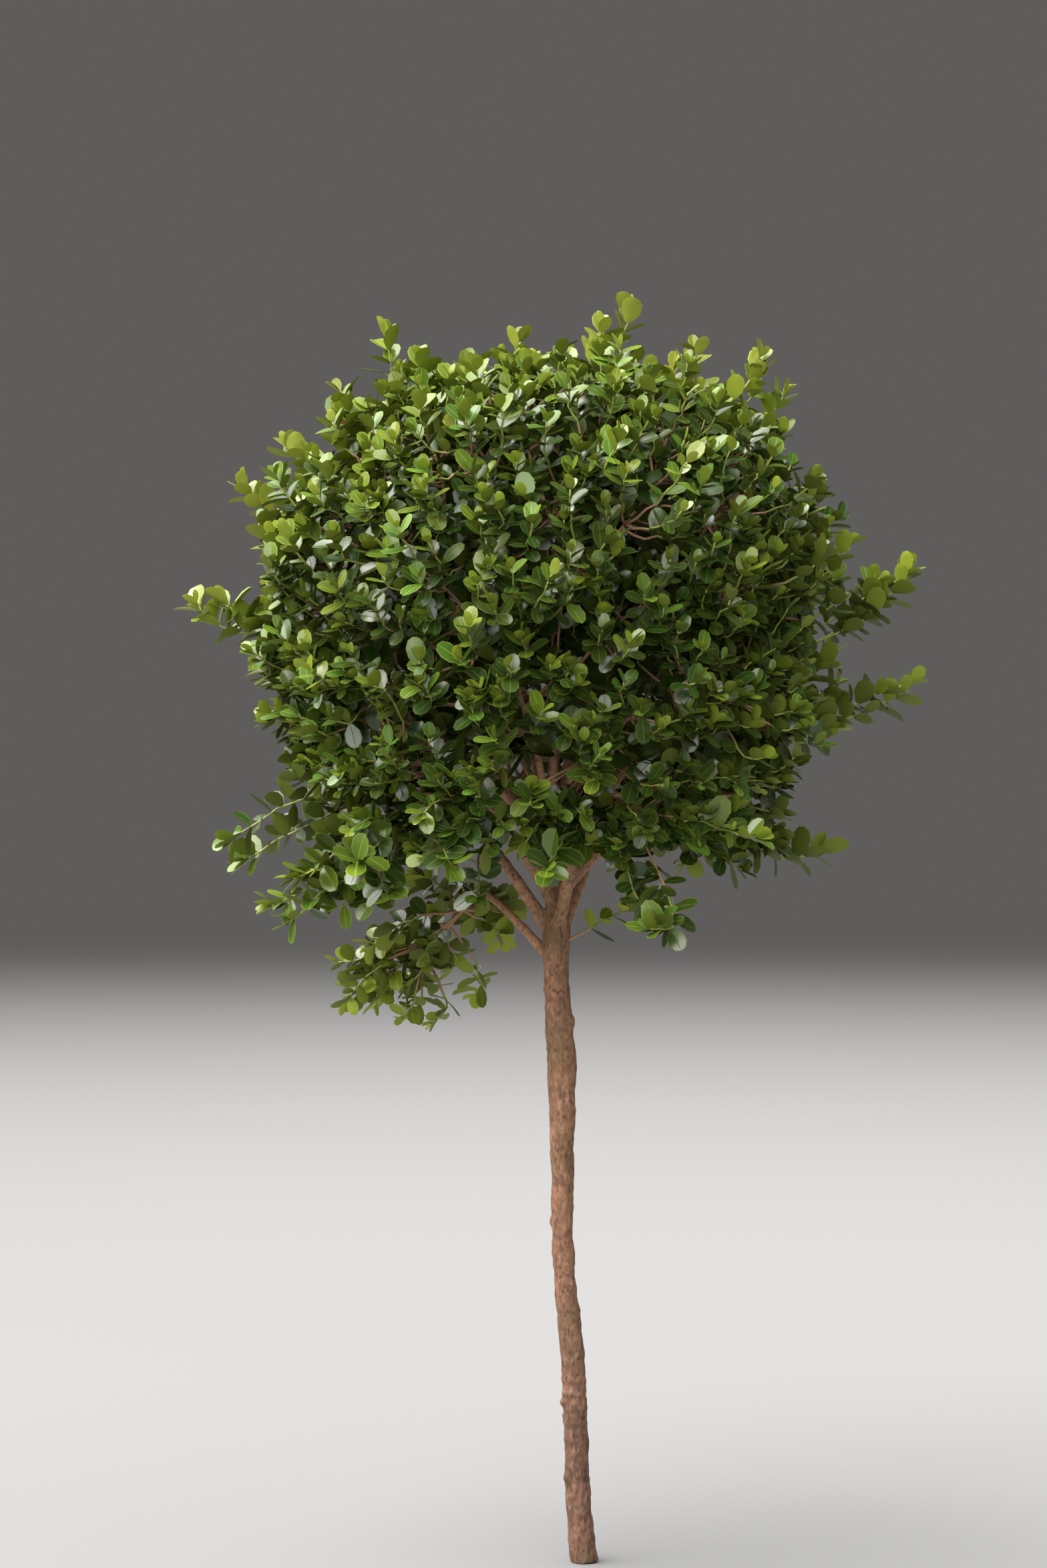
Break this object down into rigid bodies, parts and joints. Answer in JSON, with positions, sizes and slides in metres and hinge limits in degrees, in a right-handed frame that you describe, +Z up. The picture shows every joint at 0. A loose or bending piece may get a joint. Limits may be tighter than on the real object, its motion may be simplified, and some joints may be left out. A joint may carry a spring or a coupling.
{
  "type": "ball-headed box tree",
  "caption": "Small garden tree with a bare slender stem and a dense clipped ball of small glossy leaves, with loose new shoots and one drooping spray, rooted at ground level.",
  "frame": {"origin": "middle of the flat cut under the trunk, at ground level", "axes": "+Z up along the stem, +X to the right of the front view, +Y away from the viewer"},
  "size_m": [0.5013, 0.4158, 0.8177],
  "materials": {
    "bark": "rough corky bark",
    "bough_bark": "rough bark",
    "foliage": "glossy leaves"
  },
  "bodies": {
    "root": {"trunk": "bark", "bough_lower_1": "bough_bark", "bough_lower_2": "bough_bark", "bough_lower_3": "bough_bark", "bough_lower_4": "bough_bark", "bough_lower_5": "bough_bark", "bough_lower_6": "bough_bark", "bough_middle_1": "bough_bark", "bough_middle_2": "bough_bark", "bough_middle_3": "bough_bark", "bough_middle_4": "bough_bark", "bough_middle_5": "bough_bark", "bough_middle_6": "bough_bark", "bough_upper_1": "bough_bark", "bough_upper_2": "bough_bark", "bough_upper_3": "bough_bark", "bough_upper_4": "bough_bark", "bough_upper_5": "bough_bark", "bough_top": "bough_bark", "bough_drooping": "bough_bark", "foliage_lower_1": "foliage", "foliage_lower_2": "foliage", "foliage_lower_3": "foliage", "foliage_lower_4": "foliage", "foliage_lower_5": "foliage", "foliage_lower_6": "foliage", "foliage_middle_1": "foliage", "foliage_middle_2": "foliage", "foliage_middle_3": "foliage", "foliage_middle_4": "foliage", "foliage_middle_5": "foliage", "foliage_middle_6": "foliage", "foliage_upper_1": "foliage", "foliage_upper_2": "foliage", "foliage_upper_3": "foliage", "foliage_upper_4": "foliage", "foliage_upper_5": "foliage", "foliage_top": "foliage", "foliage_drooping": "foliage"}
  },
  "joints": []
}
